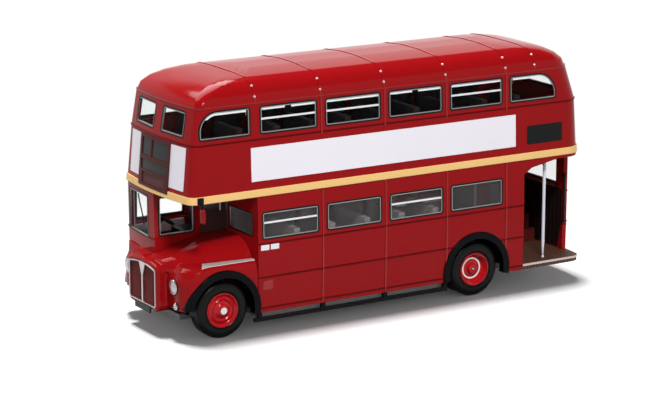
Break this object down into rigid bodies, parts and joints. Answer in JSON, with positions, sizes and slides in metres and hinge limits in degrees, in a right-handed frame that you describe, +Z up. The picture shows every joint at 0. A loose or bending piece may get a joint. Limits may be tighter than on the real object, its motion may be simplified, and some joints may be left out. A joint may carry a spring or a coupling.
{
  "type": "model double-decker bus",
  "caption": "Scale model of a half-cab double-decker bus with an open rear platform, glazed decks, moulded interior and free-rolling wheels.",
  "frame": {"origin": "centre of the footprint, on the ground under the tyres", "axes": "+X towards the front of the bus, +Y to its nearside (left), +Z up"},
  "size_m": [0.1115, 0.0348, 0.058],
  "materials": {
    "red_paint": "gloss",
    "cream_paint": "gloss",
    "clear": "gloss",
    "interior": "matte",
    "black_plastic": "satin",
    "blind": "gloss",
    "silver": "gloss",
    "lamp": "gloss",
    "platform": "satin",
    "red_plastic": "gloss",
    "tyre": "matte",
    "steel": "satin"
  },
  "bodies": {
    "body": {"air_intake": "black_plastic", "arch_liners": "black_plastic", "base_plate": "black_plastic", "cab_fittings": "black_plastic", "cab_glazing": "clear", "destination_blinds": "blind", "destination_box": "red_paint", "fog_lamp": "lamp", "front_cowl": "red_paint", "grab_rails": "black_plastic", "grille": "red_paint", "grille_surround": "silver", "headlamps": "lamp", "lifeguard_rails": "black_plastic", "lower_deck_casting": "red_paint", "lower_glazing": "clear", "lower_saloon": "interior", "mirrors": "black_plastic", "rear_platform": "platform", "staircase": "interior", "steering_wheel": "black_plastic", "tail_lamps": "red_plastic", "upper_deck_casting": "red_paint", "upper_glazing": "clear", "upper_saloon": "interior", "waist_band": "cream_paint"},
    "front_wheelset": {"front_axle": "steel", "front_hubs": "red_plastic", "front_tyres": "tyre"},
    "rear_wheelset": {"rear_axle": "steel", "rear_hubs": "red_plastic", "rear_tyres": "tyre"}
  },
  "joints": [
    {"name": "front_wheels_spin", "type": "hinge", "parent": "body", "child": "front_wheelset", "pos_m": [0.04355, 0, 0.00645], "axis": [0, 1, 0], "continuous": true},
    {"name": "rear_wheels_spin", "type": "hinge", "parent": "body", "child": "rear_wheelset", "pos_m": [-0.02395, 0, 0.00645], "axis": [0, 1, 0], "continuous": true}
  ]
}
